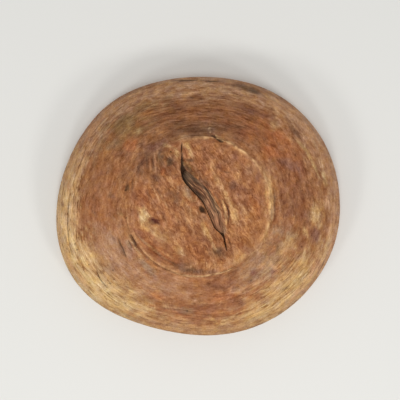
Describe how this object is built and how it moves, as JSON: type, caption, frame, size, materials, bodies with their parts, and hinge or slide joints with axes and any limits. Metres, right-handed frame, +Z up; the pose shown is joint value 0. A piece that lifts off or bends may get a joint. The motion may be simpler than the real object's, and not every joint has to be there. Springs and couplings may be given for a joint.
{
  "type": "carved wooden bowl",
  "caption": "Hand-carved wooden food bowl: deep rounded wall, slightly out-of-round rim, low oval foot with an open drying check and a tongue of bark in it.",
  "frame": {"origin": "on the foot's resting plane, at the middle of the overall box", "axes": "+Z up out of the bowl's mouth, +X along the longer diameter, +Y along the shorter one"},
  "size_m": [0.3418, 0.3112, 0.118],
  "materials": {
    "carved_wood": "hand-carved, worn and waxed by use, satin",
    "bark": "rough, fibrous, dry"
  },
  "bodies": {
    "root": {"bowl_body": "carved_wood", "included_bark": "bark"}
  },
  "joints": []
}
